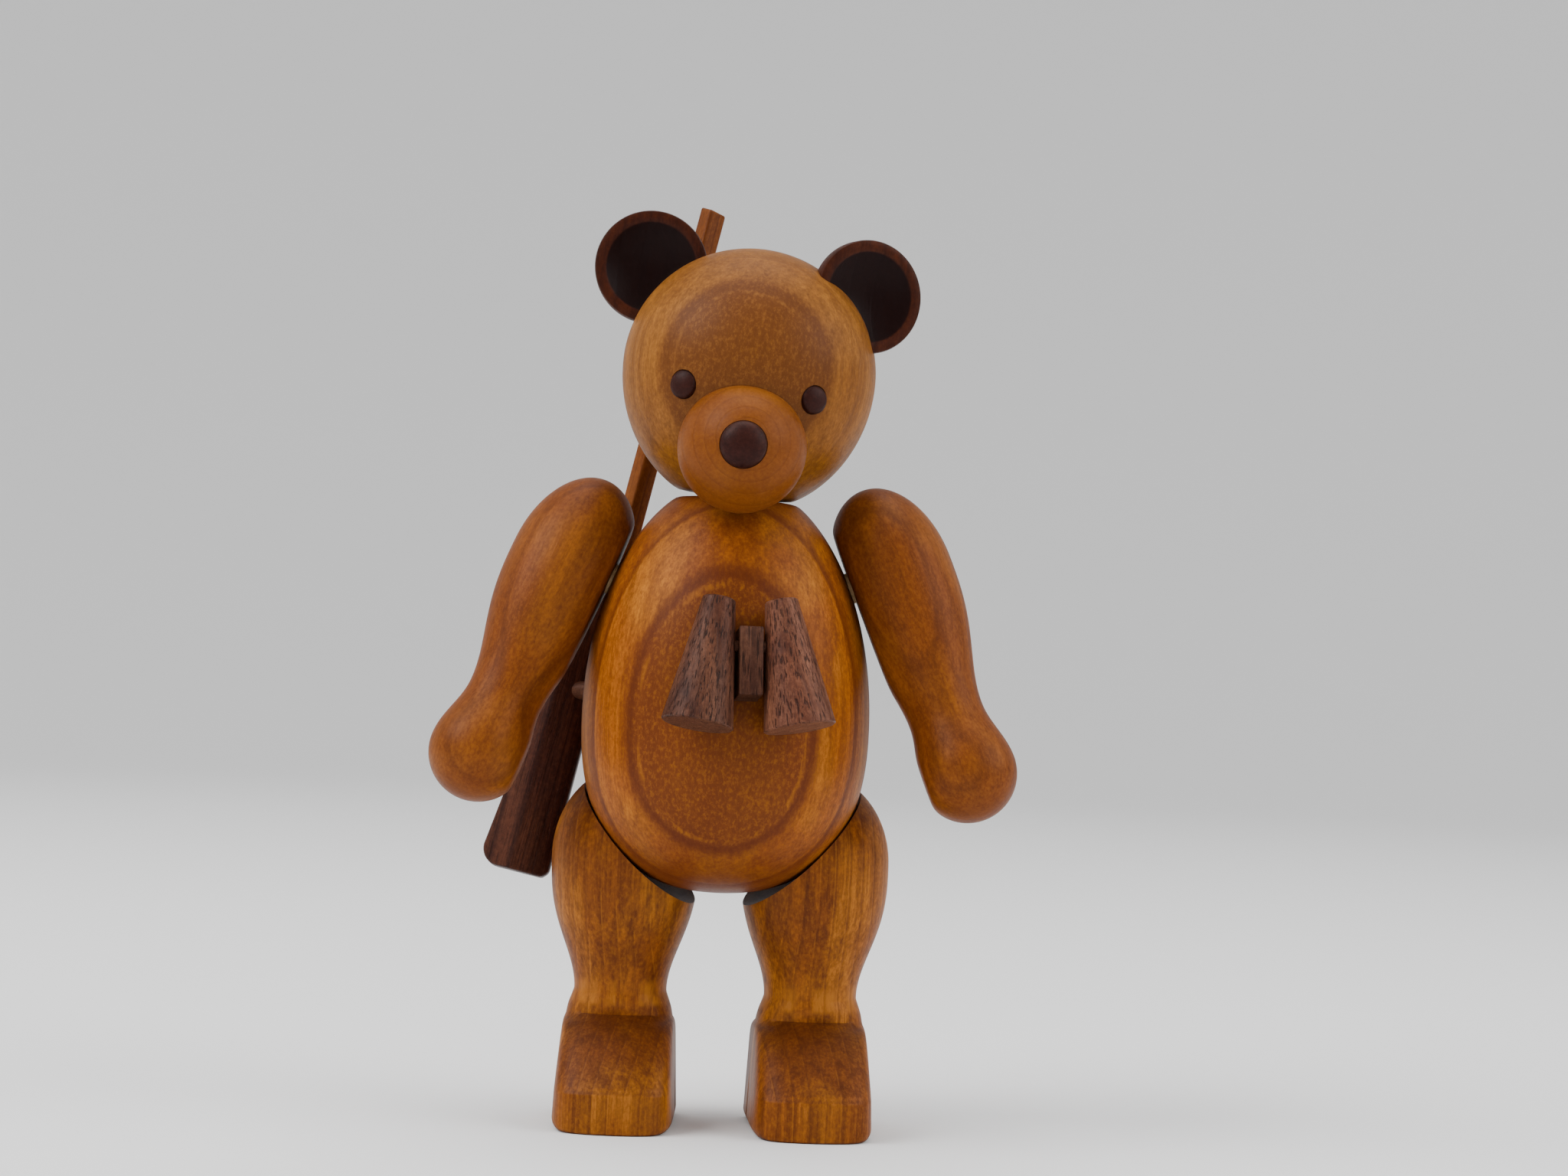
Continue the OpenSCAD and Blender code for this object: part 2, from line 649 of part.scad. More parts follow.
body();
neck_dowel();
head();
muzzle();
muzzle_peg();
nose_plug();
eye_pin_left();
eye_pin_right();
ear_left();
ear_right();
ear_peg_left();
ear_peg_right();
arm_left();
arm_right();
shoulder_pin_left();
shoulder_pin_right();
leg_left();
leg_right();
hip_pin_left();
hip_pin_right();
binocular_tube_left();
binocular_tube_right();
binocular_bridge();
binocular_crosspin();
binocular_peg();
rifle_barrel();
rifle_stock();
rifle_peg();
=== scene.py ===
import json
import math

import bpy
import numpy as np
from mathutils import Matrix, Vector


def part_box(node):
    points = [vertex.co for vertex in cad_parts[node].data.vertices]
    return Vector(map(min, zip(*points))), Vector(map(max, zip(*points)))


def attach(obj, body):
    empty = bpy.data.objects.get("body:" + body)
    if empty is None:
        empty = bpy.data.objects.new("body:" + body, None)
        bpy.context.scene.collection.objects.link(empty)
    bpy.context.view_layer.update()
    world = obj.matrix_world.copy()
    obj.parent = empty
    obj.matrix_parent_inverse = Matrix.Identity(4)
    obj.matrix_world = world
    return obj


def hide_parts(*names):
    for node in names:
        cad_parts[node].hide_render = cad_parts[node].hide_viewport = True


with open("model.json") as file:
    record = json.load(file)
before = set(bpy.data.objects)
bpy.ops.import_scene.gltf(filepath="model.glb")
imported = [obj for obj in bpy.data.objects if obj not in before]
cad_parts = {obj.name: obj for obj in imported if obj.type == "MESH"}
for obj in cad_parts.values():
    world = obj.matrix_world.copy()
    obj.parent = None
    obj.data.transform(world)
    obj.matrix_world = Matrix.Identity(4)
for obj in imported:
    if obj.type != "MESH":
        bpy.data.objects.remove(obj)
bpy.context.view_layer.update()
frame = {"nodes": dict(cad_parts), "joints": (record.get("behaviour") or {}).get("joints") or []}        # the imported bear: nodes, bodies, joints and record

mm = 0.001
nodes = frame["nodes"]
joints = {j["name"]: j for j in frame["joints"]}
sides = {"left": 1, "right": -1}
print("frame loaded:", len(nodes), "nodes")


def middle(node):
    low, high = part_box(node)
    return (low + high) / 2


def jointPlace(name):
    return Vector(joints[name]["pos_m"]), Vector(joints[name]["axis"]).normalized()


bodyAxisY = middle("body").y      # every turned body stands on this line
floorZ = 0.0



def addObject(name, points, faces, sharp=35):
    mesh = bpy.data.meshes.new(name)
    mesh.from_pydata([tuple(p) for p in points], [], faces)
    mesh.validate()
    mesh.update()
    obj = bpy.data.objects.new(name, mesh)
    bpy.context.scene.collection.objects.link(obj)
    softShade(obj, sharp)
    return obj


def softShade(obj, sharp):
    obj.data.shade_smooth()
    obj.data.set_sharp_from_angle(angle=math.radians(sharp))


def ringFaces(rings, around, closeStart=True, closeEnd=True):
    faces = []
    for k in range(rings - 1):
        for i in range(around):
            j = (i + 1) % around
            a, b = k * around, (k + 1) * around
            faces.append((a + i, a + j, b + j, b + i))
    top = rings * around
    if closeStart:
        faces += [(top, (i + 1) % around, i) for i in range(around)]
        top += 1
    if closeEnd:
        base = (rings - 1) * around
        faces += [(top, base + i, base + (i + 1) % around) for i in range(around)]
    return faces


def turnedPoints(profile, around):
    inner = profile[1:-1]
    angle = np.linspace(0, 2 * math.pi, around, endpoint=False)
    points = [(r * math.cos(a), r * math.sin(a), z) for r, z in inner for a in angle]
    points += [(0, 0, profile[0][1]), (0, 0, profile[-1][1])]
    return np.array(points, float), ringFaces(len(inner), around)


def turned(name, profile, place, around=128, shape=None, sharp=35):
    points, faces = turnedPoints(profile, around)
    if shape:
        points = shape(points)
    world = np.array([(place @ Vector(p * mm)) for p in points])
    return addObject(name, world, faces, sharp=sharp)


def softMax(x, limit, soft):
    return (x + limit + np.sqrt((x - limit) ** 2 + soft ** 2)) / 2


def quarter(rx, rz, start, end, z0=0.0, steps=40):
    angles = np.radians(np.linspace(start, end, steps + 1))
    return [(rx * math.cos(a), z0 + rz * math.sin(a)) for a in angles]


def ease(t):
    return (1 - math.cos(math.pi * t)) / 2


def joinPoints(*lists):
    whole = []
    for points in lists:
        for r, z in points:
            r = max(r, 0.0)
            if not whole or math.hypot(r - whole[-1][0], z - whole[-1][1]) > 1e-4:
                whole.append((r, z))
    return whole


def rodBetween(name, start, end, radius, around=48):
    axis = end - start
    place = Matrix.Translation(start) @ axis.to_track_quat("Z", "Y").to_matrix().to_4x4()
    length = axis.length / mm
    profile = [(0, 0), (radius, 0), (radius, length), (0, length)]
    return turned(name, profile, place, around)


def cutAway(obj, cutter, sharp=35):
    tool = obj.modifiers.new("cut", "BOOLEAN")
    tool.operation = "DIFFERENCE"
    tool.solver = "EXACT"
    tool.object = cutter
    graph = bpy.context.evaluated_depsgraph_get()
    cut = bpy.data.meshes.new_from_object(obj.evaluated_get(graph))
    obj.modifiers.clear()
    obj.data = cut
    bpy.data.objects.remove(cutter)
    softShade(obj, sharp)


def roundEdges(obj, width, segments=3, angle=30):
    tool = obj.modifiers.new("sanded", "BEVEL")
    tool.width = width * mm
    tool.segments = segments
    tool.limit_method = "ANGLE"
    tool.angle_limit = math.radians(angle)
    tool.use_clamp_overlap = True
    graph = bpy.context.evaluated_depsgraph_get()
    sanded = bpy.data.meshes.new_from_object(obj.evaluated_get(graph))
    obj.modifiers.clear()
    obj.data = sanded
    softShade(obj, 45)


def finishPiece(obj, node, body, material):
    obj.data.materials.clear()
    obj.data.materials.append(material)
    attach(obj, body)
    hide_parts(node)



def maths(tree, operation, a, b=None):
    made = tree.nodes.new("ShaderNodeMath")
    made.operation = operation
    for socket, value in zip(made.inputs, (a, b)):
        if value is None:
            continue
        if hasattr(value, "is_output"):
            tree.links.new(value, socket)
        else:
            socket.default_value = value
    return made.outputs[0]


def vectorMaths(tree, operation, a, b=None, out=0):
    made = tree.nodes.new("ShaderNodeVectorMath")
    made.operation = operation
    for socket, value in zip(made.inputs, (a, b)):
        if value is None:
            continue
        if hasattr(value, "is_output"):
            tree.links.new(value, socket)
        else:
            socket.default_value = value
    return made.outputs[out]


def mapRange(tree, value, low, high, toLow=0.0, toHigh=1.0, smooth=False):
    made = tree.nodes.new("ShaderNodeMapRange")
    made.interpolation_type = "SMOOTHSTEP" if smooth else "LINEAR"
    tree.links.new(value, made.inputs["Value"])
    made.inputs["From Min"].default_value = low
    made.inputs["From Max"].default_value = high
    made.inputs["To Min"].default_value = toLow
    made.inputs["To Max"].default_value = toHigh
    return made.outputs["Result"]


def noise(tree, vector, scale=1.0, detail=2.0, rough=0.5):
    made = tree.nodes.new("ShaderNodeTexNoise")
    made.inputs["Scale"].default_value = scale
    made.inputs["Detail"].default_value = detail
    made.inputs["Roughness"].default_value = rough
    tree.links.new(vector, made.inputs["Vector"])
    return made


def mixColour(tree, factor, a, b):
    made = tree.nodes.new("ShaderNodeMix")
    made.data_type = "RGBA"
    made.clamp_factor = True
    for socket, value in ((made.inputs[0], factor), (made.inputs[6], a), (made.inputs[7], b)):
        if hasattr(value, "is_output"):
            tree.links.new(value, socket)
        elif isinstance(value, (int, float)):
            socket.default_value = value
        else:
            socket.default_value = (*value, 1)
    return made.outputs[2]


woodBase = {
    "light": (0.42, 0.17, 0.045),     # early wood under the stain
    "dark": (0.16, 0.045, 0.012),     # late wood, ring lines
    "patch": (0.50, 0.21, 0.04),      # where the stain is thin
    "end": (0.15, 0.042, 0.012),      # end grain drinks more stain
    "grain": (0, 0, 1),               # direction of the fibres
    "pith": (0, 300, 0),              # a point on the tree's centre line, mm
    "ring": 7.3,                      # year ring spacing, mm
    "ringShift": 0.0,
    "ringShow": 0.45,
    "ringEdge": 0.86,
    "lineShow": 0.0,      # pale line at the start of each year
    "core": None,         # painted shade: a darker tone on the front, beyond the next distance from the pith
    "coreFrom": 0.0,
    "speckle": 0.4,
    "band": None,         # painted light: heights of a paler band, mm
    "warp": 1.2,
    "fibreShow": 0.5,
    "fibreFine": 2.6,                 # streaks to the mm across the grain
    "fleckShow": 0.35,
    "patchShow": 0.5,
    "endShow": 0.7,
    "endFrom": 0.55,
    "poreShow": 0.0,
    "rough": 0.44,
    "shine": 0.09,
    "coat": 0.0,
    "bump": 0.25,
    "seed": 0.0,
}

pithBack = 300.0      # mm from the middle of the bear to the middle of the tree it was turned from


def ringAt(distance, spacing):
    # the shift that puts the end of a year at this distance from the pith
    return 100 + woodBase["ringEdge"] - distance / spacing


def wood(name, **spec):
    w = {**woodBase, **spec}
    material = bpy.data.materials.new(name)
    material.use_nodes = True
    tree = material.node_tree
    shader = tree.nodes["Principled BSDF"]
    coords = tree.nodes.new("ShaderNodeTexCoord")
    inMm = vectorMaths(tree, "MULTIPLY", coords.outputs["Object"], (1000, 1000, 1000))
    turn = Vector(w["grain"]).normalized().rotation_difference(Vector((0, 0, 1)))
    pith = turn @ Vector(w["pith"])
    mapping = tree.nodes.new("ShaderNodeMapping")
    tree.links.new(inMm, mapping.inputs["Vector"])
    mapping.inputs["Rotation"].default_value = turn.to_euler()
    mapping.inputs["Location"].default_value = -pith
    grainSpace = mapping.outputs["Vector"]
    seeded = vectorMaths(tree, "ADD", grainSpace, (w["seed"], w["seed"] * 0.7, w["seed"] * 1.3))

    def speckled(vector, stretch, detail, rough, scale=1.0):
        stretched = vectorMaths(tree, "MULTIPLY", vector, stretch)
        return noise(tree, stretched, scale, detail, rough).outputs["Fac"]

    # slow wander of the fibres, longer along the grain
    slow = vectorMaths(tree, "MULTIPLY", seeded, (0.05, 0.05, 0.018))
    wander = vectorMaths(tree, "SUBTRACT", noise(tree, slow, 1.0, 1.5).outputs["Color"], (0.5, 0.5, 0.5))
    wander = vectorMaths(tree, "MULTIPLY", wander, (w["warp"] * 2,) * 3)
    wandered = vectorMaths(tree, "ADD", grainSpace, wander)

    # year rings
    across = vectorMaths(tree, "MULTIPLY", wandered, (1, 1, 0))
    distance = vectorMaths(tree, "LENGTH", across, out=1)
    count = maths(tree, "ADD", maths(tree, "DIVIDE", distance, w["ring"]), w["ringShift"])
    inRing = maths(tree, "FRACT", count)
    lateWood = mapRange(tree, inRing, w["ringEdge"] - 0.5, w["ringEdge"], smooth=True)
    afterEdge = mapRange(tree, inRing, w["ringEdge"], min(w["ringEdge"] + 0.08, 0.999), 1.0, 0.0, smooth=True)
    ringLine = maths(tree, "MULTIPLY", maths(tree, "POWER", lateWood, 5.0), afterEdge)
    thinRings = speckled(across, (0.9, 0.9, 0), 2.0, 0.6, 0.8)

    # fibres: fine and coarse streaks along the grain, and short dark flecks
    fine = w["fibreFine"]
    fibre = speckled(seeded, (fine, fine, fine * 0.03), 3.0, 0.6)
    streak = speckled(seeded, (0.55, 0.55, 0.02), 3.0, 0.6)
    fleck = mapRange(tree, speckled(seeded, (3.2, 3.2, 0.42), 2.0, 0.5), 0.60, 0.72, smooth=True)
    pore = mapRange(tree, speckled(seeded, (4.0, 4.0, 0.28), 1.0, 0.4), 0.58, 0.66, smooth=True)
    patch = mapRange(tree, speckled(seeded, (0.09, 0.09, 0.04), 2.0, 0.5), 0.42, 0.62, smooth=True)

    # end grain, from the surface's own direction
    along = tuple(Vector(w["grain"]).normalized())
    facing = vectorMaths(tree, "DOT_PRODUCT", coords.outputs["Normal"], along, out=1)
    endGrain = mapRange(tree, maths(tree, "ABSOLUTE", facing), w["endFrom"], 1.0, smooth=True)

    colour = mixColour(tree, maths(tree, "MULTIPLY", patch, w["patchShow"]), w["light"], w["patch"])
    streaks = mapRange(tree, streak, 0.38, 0.66)
    colour = mixColour(tree, maths(tree, "MULTIPLY", streaks, w["fibreShow"]), colour, w["dark"])
    fibres = mapRange(tree, fibre, 0.40, 0.68)
    colour = mixColour(tree, maths(tree, "MULTIPLY", fibres, w["fibreShow"] * 0.75), colour, w["dark"])
    # painted shade: the core tone darkens the front, past the set distance from the pith
    if w["core"]:
        inFrontShade = mapRange(tree, distance, w["coreFrom"] - 1.2, w["coreFrom"] + 0.3, smooth=True)
        colour = mixColour(tree, maths(tree, "MULTIPLY", inFrontShade, 0.85), colour, w["core"])
    mottle = speckled(seeded, (1.9, 1.9, 1.2), 4.0, 0.75)
    darkSpeck = maths(tree, "MULTIPLY", mapRange(tree, mottle, 0.44, 0.66), w["speckle"])
    paleSpeck = maths(tree, "MULTIPLY", mapRange(tree, mottle, 0.50, 0.34), w["speckle"] * 0.5)
    colour = mixColour(tree, darkSpeck, colour, w["dark"])
    colour = mixColour(tree, paleSpeck, colour, w["patch"])
    if w["lineShow"] > 0:
        lineMiddle, lineEnd = w["ringEdge"] + 0.10, min(w["ringEdge"] + 0.17, 0.999)
        paleLine = mapRange(tree, inRing, w["ringEdge"] + 0.03, lineMiddle, smooth=True)
        pastLine = mapRange(tree, inRing, lineMiddle, lineEnd, 1.0, 0.0, smooth=True)
        paleLine = maths(tree, "MULTIPLY", paleLine, pastLine)
        broken = mapRange(tree, thinRings, 0.45, 0.62, smooth=True)
        paleLine = maths(tree, "MULTIPLY", paleLine, broken)
        colour = mixColour(tree, maths(tree, "MULTIPLY", paleLine, w["lineShow"]), colour, w["patch"])
    # painted light: a paler band over the given heights, for the lit ankles
    if w["band"]:
        height = tree.nodes.new("ShaderNodeSeparateXYZ")
        tree.links.new(inMm, height.inputs[0])
        low, high = w["band"]
        inPaintedLightBand = maths(tree, "MULTIPLY", mapRange(tree, height.outputs[2], low, low + 1.2, smooth=True),
                       mapRange(tree, height.outputs[2], high - 2.0, high, 1.0, 0.0, smooth=True))
        inPaintedLightBand = maths(tree, "MULTIPLY", inPaintedLightBand, mapRange(tree, streak, 0.40, 0.60))
        colour = mixColour(tree, maths(tree, "MULTIPLY", inPaintedLightBand, 0.6), colour, w["patch"])
    ringDepth = maths(tree, "ADD", maths(tree, "MULTIPLY", thinRings, 0.6), 0.55)
    rings = maths(tree, "MULTIPLY", ringLine, ringDepth)
    colour = mixColour(tree, maths(tree, "MULTIPLY", rings, w["ringShow"]), colour, w["dark"])
    colour = mixColour(tree, maths(tree, "MULTIPLY", fleck, w["fleckShow"] * 0.5), colour, w["dark"])
    colour = mixColour(tree, maths(tree, "MULTIPLY", endGrain, w["endShow"]), colour, w["end"])
    if w["poreShow"] > 0:
        poreDark = tuple(c * 0.35 for c in w["dark"])
        colour = mixColour(tree, maths(tree, "MULTIPLY", pore, w["poreShow"]), colour, poreDark)
    tree.links.new(colour, shader.inputs["Base Color"])

    rough = maths(tree, "ADD", maths(tree, "MULTIPLY", fibre, 0.16), w["rough"] - 0.08)
    tree.links.new(rough, shader.inputs["Roughness"])
    height = maths(tree, "ADD", maths(tree, "MULTIPLY", fibre, 0.5), maths(tree, "MULTIPLY", rings, -0.35))
    height = maths(tree, "ADD", height, maths(tree, "MULTIPLY", fleck, -0.25))
    if w["poreShow"] > 0:
        height = maths(tree, "ADD", height, maths(tree, "MULTIPLY", pore, -1.6))
    bump = tree.nodes.new("ShaderNodeBump")
    bump.inputs["Strength"].default_value = w["bump"]
    bump.inputs["Distance"].default_value = 0.0002
    tree.links.new(height, bump.inputs["Height"])
    tree.links.new(bump.outputs["Normal"], shader.inputs["Normal"])
    shader.inputs["Coat Weight"].default_value = w["coat"]
    shader.inputs["Coat Roughness"].default_value = 0.22
    shader.inputs["Specular IOR Level"].default_value = w["shine"]
    return material



body = {
    "radius": 22.9,
    "low": 27.2,          # below the widest ring
    "full": 2.4,          # 2 would be an ellipse
    "up": 38.8,           # above it, before the neck is cut
    "neckCut": 35.6,
    "lean": 4.4,          # of the neck seat, degrees
    "edge": 0.35,         # rounding where the neck is cut
    "limbBore": 2.55,
    "neckBore": 3.05,
    "boreDeep": 10.0,
}
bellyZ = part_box("body")[0].z / mm + body["low"]


def bodyPlace():
    return Matrix.Translation((0, bodyAxisY, bellyZ * mm))


def makeBody():
    power = 2 / body["full"]
    under = [(body["radius"] * math.cos(a) ** power, -body["low"] * math.sin(a) ** power)
             for a in np.radians(np.linspace(89.999, 0, 61))]
    full = joinPoints([(0, -body["low"])], under, quarter(body["radius"], body["up"], 0, 90, steps=56))
    lean = math.radians(body["lean"])
    seat = np.array((math.sin(lean), 0, math.cos(lean)))
    top = np.array((0, 0, body["neckCut"]))

    def cutNeck(points):
        points[:, 2] = -softMax(-points[:, 2], -body["neckCut"], body["edge"])
        over = (points - top) @ seat
        points -= np.outer(over + softMax(-over, 0, body["edge"]), seat)
        return points

    egg = turned("bodyTurned", full, bodyPlace(), 160, cutNeck)
    for joint in ("arm_left_swing", "arm_right_swing", "leg_left_swing", "leg_right_swing"):
        at, axis = jointPlace(joint)
        outward = axis if axis.x * at.x > 0 else -axis
        inside = at - outward * body["boreDeep"] * mm
        cutAway(egg, rodBetween("bore", inside, at + outward * 5 * mm, body["limbBore"]))
    at, axis = jointPlace("head_turn")
    inside = at - axis * body["boreDeep"] * mm
    cutAway(egg, rodBetween("bore", inside, at + axis * 3 * mm, body["neckBore"]))
    # painted shade: the core tone darkens the middle of the belly's front
    finishPiece(egg, "body", "torso", wood(
        "bodyWood", light=(0.33, 0.090, 0.007), patch=(0.54, 0.185, 0.013), dark=(0.080, 0.015, 0.003),
        end=(0.092, 0.019, 0.005), core=(0.118, 0.028, 0.005), coreFrom=pithBack + 18.35,
        pith=(0, pithBack + bodyAxisY / mm, 0), ring=7.35, ringShift=ringAt(pithBack + 18.35, 7.35),
        ringShow=0.8,
        lineShow=0.25, warp=0.8, patchShow=0.7, endFrom=0.25, endShow=0.85, seed=3.0))


makeBody()
print("body turned")



head = {
    "radius": 20.2,
    "up": 19.8,
    "low": 22.22,
    "cut": 19.8,
    "gap": 0.3,           # over the neck seat
    "edge": 0.35,         # rounding of the flat under the head
    "turn": 2.0,          # to the bear's left, degrees
}
muzzle = {"radius": 10.0, "edge": 2.2, "length": 13.0, "back": 14.0, "drop": 12.99}
nose = {"radius": 3.6, "out": 1.3, "depth": 6.0}
eyes = {"radius": 2.2, "x": 10.2, "drop": 4.3, "out": 0.9, "depth": 7.0}
ears = {
    "radius": 9.0,
    "thick": 5.0,
    "rim": 1.5,
    "dish": 2.2,
    "x": 17.5,
    "z": {"left": 13.9, "right": 15.0},
    "front": {"left": 5.0, "right": 0.5},
    "turn": {"left": 20.0, "right": 0.0},
}
neckAt, neckAxis = jointPlace("head_turn")
headPlace = (Matrix.Translation(neckAt) @ Matrix.Rotation(math.radians(body["lean"]), 4, "Y")
             @ Matrix.Rotation(math.radians(head["turn"]), 4, "Z")
             @ Matrix.Translation((0, 0, (head["gap"] + head["cut"]) * mm)))
muzzlePlace = (headPlace @ Matrix.Translation(Vector((0, -muzzle["back"], -muzzle["drop"])) * mm)
               @ Matrix.Rotation(math.radians(90), 4, "X"))
headUp = tuple(headPlace.to_3x3() @ Vector((0, 0, 1)))


def domed(radius, straight, dome):
    return joinPoints([(0, 0), (radius, 0), (radius, straight)], quarter(radius, dome, 0, 90, straight, 24))


def makeHead():
    profile = joinPoints(quarter(head["radius"], head["low"], -90, 0),
                         quarter(head["radius"], head["up"], 0, 90))

    def flatUnder(points):
        points[:, 2] = softMax(points[:, 2], -head["cut"], head["edge"])
        return points

    ball = turned("headTurned", profile, headPlace, 160, flatUnder)
    for side in sides.values():
        place = eyePlace(side)
        at = place.translation
        out = place.to_3x3() @ Vector((0, 0, 1))
        cutAway(ball, rodBetween("eyeBore", at - out * 5 * mm, at + out * 3 * mm, eyes["radius"] + 0.07))
    # painted shade: the core tone darkens the middle of the face and forehead
    finishPiece(ball, "head", "head", wood(
        "headWood", light=(0.245, 0.088, 0.012), patch=(0.38, 0.150, 0.026), dark=(0.080, 0.024, 0.005),
        end=(0.17, 0.058, 0.009), core=(0.112, 0.034, 0.007), coreFrom=pithBack + 15.5, grain=headUp,
        pith=(0, pithBack + bodyAxisY / mm, 0), ring=6.4, ringShift=ringAt(pithBack + 16.3, 6.4),
        ringShow=0.3,
        lineShow=0.22, warp=0.9, fibreShow=0.5, fleckShow=0.3, endFrom=0.6, endShow=0.35, seed=11.0))


def eyePlace(side):
    ring = head["radius"] * math.sqrt(1 - (eyes["drop"] / head["low"]) ** 2)
    y = math.sqrt(ring ** 2 - eyes["x"] ** 2)
    turn = math.atan2(eyes["x"], y) * side
    return (headPlace @ Matrix.Translation(Vector((side * eyes["x"], -y, -eyes["drop"])) * mm)
            @ Matrix.Rotation(math.radians(90), 4, "X") @ Matrix.Rotation(turn, 4, "Y"))


def makeFace():
    dome = joinPoints([(0, 0), (muzzle["radius"] - 0.3, 0), (muzzle["radius"], 0.3)],
                      quarter(muzzle["radius"], muzzle["length"] - muzzle["edge"], 0, 90, muzzle["edge"]))
    piece = turned("muzzleTurned", dome, muzzlePlace, 144)
    noseFoot = muzzle["length"] - nose["depth"]
    start = muzzlePlace @ Vector((0, 0, noseFoot * mm))
    end = muzzlePlace @ Vector((0, 0, (muzzle["length"] + 3) * mm))
    cutAway(piece, rodBetween("noseBore", start, end, nose["radius"] + 0.08))
    faceOut = tuple(muzzlePlace.to_3x3() @ Vector((0, 0, 1)))
    at = muzzlePlace.translation / mm
    finishPiece(piece, "muzzle", "head", wood(
        "muzzleWood", light=(0.18, 0.050, 0.006), patch=(0.27, 0.090, 0.013), dark=(0.080, 0.019, 0.003),
        end=(0.18, 0.05, 0.006), grain=faceOut, pith=(at.x + 0.6, at.y, at.z + 1.0), ring=1.7, ringShow=0.3,
        lineShow=0.2, warp=0.35, fibreShow=0.15, fleckShow=0.1, endShow=0.0, speckle=0.3, seed=23.0))
    onDome = muzzle["edge"] + (muzzle["length"] - muzzle["edge"]) * math.sqrt(
        1 - (nose["radius"] / muzzle["radius"]) ** 2)
    plug = turned("nosePlug", domed(nose["radius"], onDome - noseFoot,
                                    muzzle["length"] + nose["out"] - onDome),
                  muzzlePlace @ Matrix.Translation((0, 0, noseFoot * mm)), 72)
    finishPiece(plug, "nose_plug", "head", darkEndWood("noseWood", faceOut, 31.0))
    for name, side in sides.items():
        place = eyePlace(side)
        pin = turned(f"eyePin.{name}", domed(eyes["radius"], eyes["depth"], eyes["out"]),
                     place @ Matrix.Translation((0, 0, -eyes["depth"] * mm)), 56)
        out = tuple(place.to_3x3() @ Vector((0, 0, 1)))
        finishPiece(pin, f"eye_pin_{name}", "head",
                    darkEndWood(f"eyeWood.{name}", out, 37.0 + side))


def darkEndWood(name, out, seed):
    return wood(name, light=(0.034, 0.008, 0.005), patch=(0.070, 0.022, 0.014),
                dark=(0.008, 0.002, 0.002), end=(0.028, 0.006, 0.004), grain=out, pith=(40, 30, 60),
                ring=3.0, ringShow=0.3, fibreShow=0.5, fibreFine=3.5, fleckShow=0.9, endShow=0.4,
                rough=0.44, shine=0.10, bump=0.3, seed=seed)


def makeEars():
    edge = ears["thick"] * 0.45
    inner = ears["radius"] - ears["rim"]
    dish = [(inner * (1 - i / 24), -ears["dish"] * (1 - (1 - i / 24) ** 2)) for i in range(25)]
    profile = joinPoints(quarter(ears["radius"], ears["thick"] - edge, -90, 0, -edge, 24),
                         [(ears["radius"], -0.5), (ears["radius"] - 0.15, -0.15), (ears["radius"] - 0.5, 0)],
                         dish)
    for name, side in sides.items():
        place = (headPlace
                 @ Matrix.Translation(Vector((side * ears["x"], -ears["front"][name], ears["z"][name])) * mm)
                 @ Matrix.Rotation(math.radians(ears["turn"][name]), 4, "Z")
                 @ Matrix.Rotation(math.radians(90), 4, "X"))
        disc = turned(f"earTurned.{name}", profile, place, 128)
        finishPiece(disc, f"ear_{name}", "head", earWood(name, place))


def earWood(name, place):
    out = tuple(place.to_3x3() @ Vector((0, 0, 1)))
    material = wood(f"earWood.{name}", light=(0.050, 0.011, 0.004), patch=(0.075, 0.018, 0.006),
                    dark=(0.012, 0.003, 0.002), end=(0.04, 0.009, 0.004), grain=headUp, pith=(60, 30, 100),
                    ring=4.0, ringShow=0.4, fibreShow=0.4, endShow=0.2, rough=0.40, shine=0.08, seed=41.0)
    tree = material.node_tree
    shader = tree.nodes["Principled BSDF"]
    was = shader.inputs["Base Color"].links[0].from_socket
    coords = tree.nodes.new("ShaderNodeTexCoord")
    centre = place.translation
    fromCentre = vectorMaths(tree, "SUBTRACT", coords.outputs["Object"], tuple(centre))
    along = vectorMaths(tree, "DOT_PRODUCT", fromCentre, out, out=1)
    radial = vectorMaths(tree, "LENGTH", fromCentre, out=1)
    # painted shade: the dish inside the rim is darkened almost to black
    inShadedDish = mapRange(tree, radial, 7.0 * mm, 7.35 * mm, 1.0, 0.0, smooth=True)
    front = mapRange(tree, along, -2.4 * mm, -2.25 * mm, smooth=True)
    dark = maths(tree, "MULTIPLY", inShadedDish, front)
    colour = mixColour(tree, maths(tree, "MULTIPLY", dark, 0.96), was, (0.006, 0.0010, 0.0008))
    tree.links.new(colour, shader.inputs["Base Color"])
    return material


makeHead()
makeFace()
makeEars()
print("head, face and ears turned")



arms = {
    "length": 57.2,
    "shoulder": 9.5,
    "shoulderAt": 15.0,
    "wrist": 6.05,
    "wristAt": 39.5,
    "hand": 7.8,
    "shape": 1.4,
    "flat": 7.0,          # from the arm's axis to the flat inside the shoulder
    "pinAt": 14.5,
    "gap": 0.3,
    "swing": {"left": 17.0, "right": 19.0},
    "edge": 0.5,
}


def armProfile():
    taper = [(arms["shoulder"] - (arms["shoulder"] - arms["wrist"]) * ease((i / 40) ** arms["shape"]),
              -arms["shoulderAt"] - (arms["wristAt"] - arms["shoulderAt"]) * i / 40) for i in range(1, 41)]
    handAt = arms["length"] - arms["hand"]
    swell = [(arms["wrist"] + (arms["hand"] - arms["wrist"]) * ease(i / 24),
              -arms["wristAt"] - (handAt - arms["wristAt"]) * i / 24) for i in range(1, 25)]
    return joinPoints(quarter(arms["shoulder"], arms["shoulderAt"], 90, 0, -arms["shoulderAt"]), taper, swell,
                      quarter(arms["hand"], arms["hand"], 0, -90, -handAt))


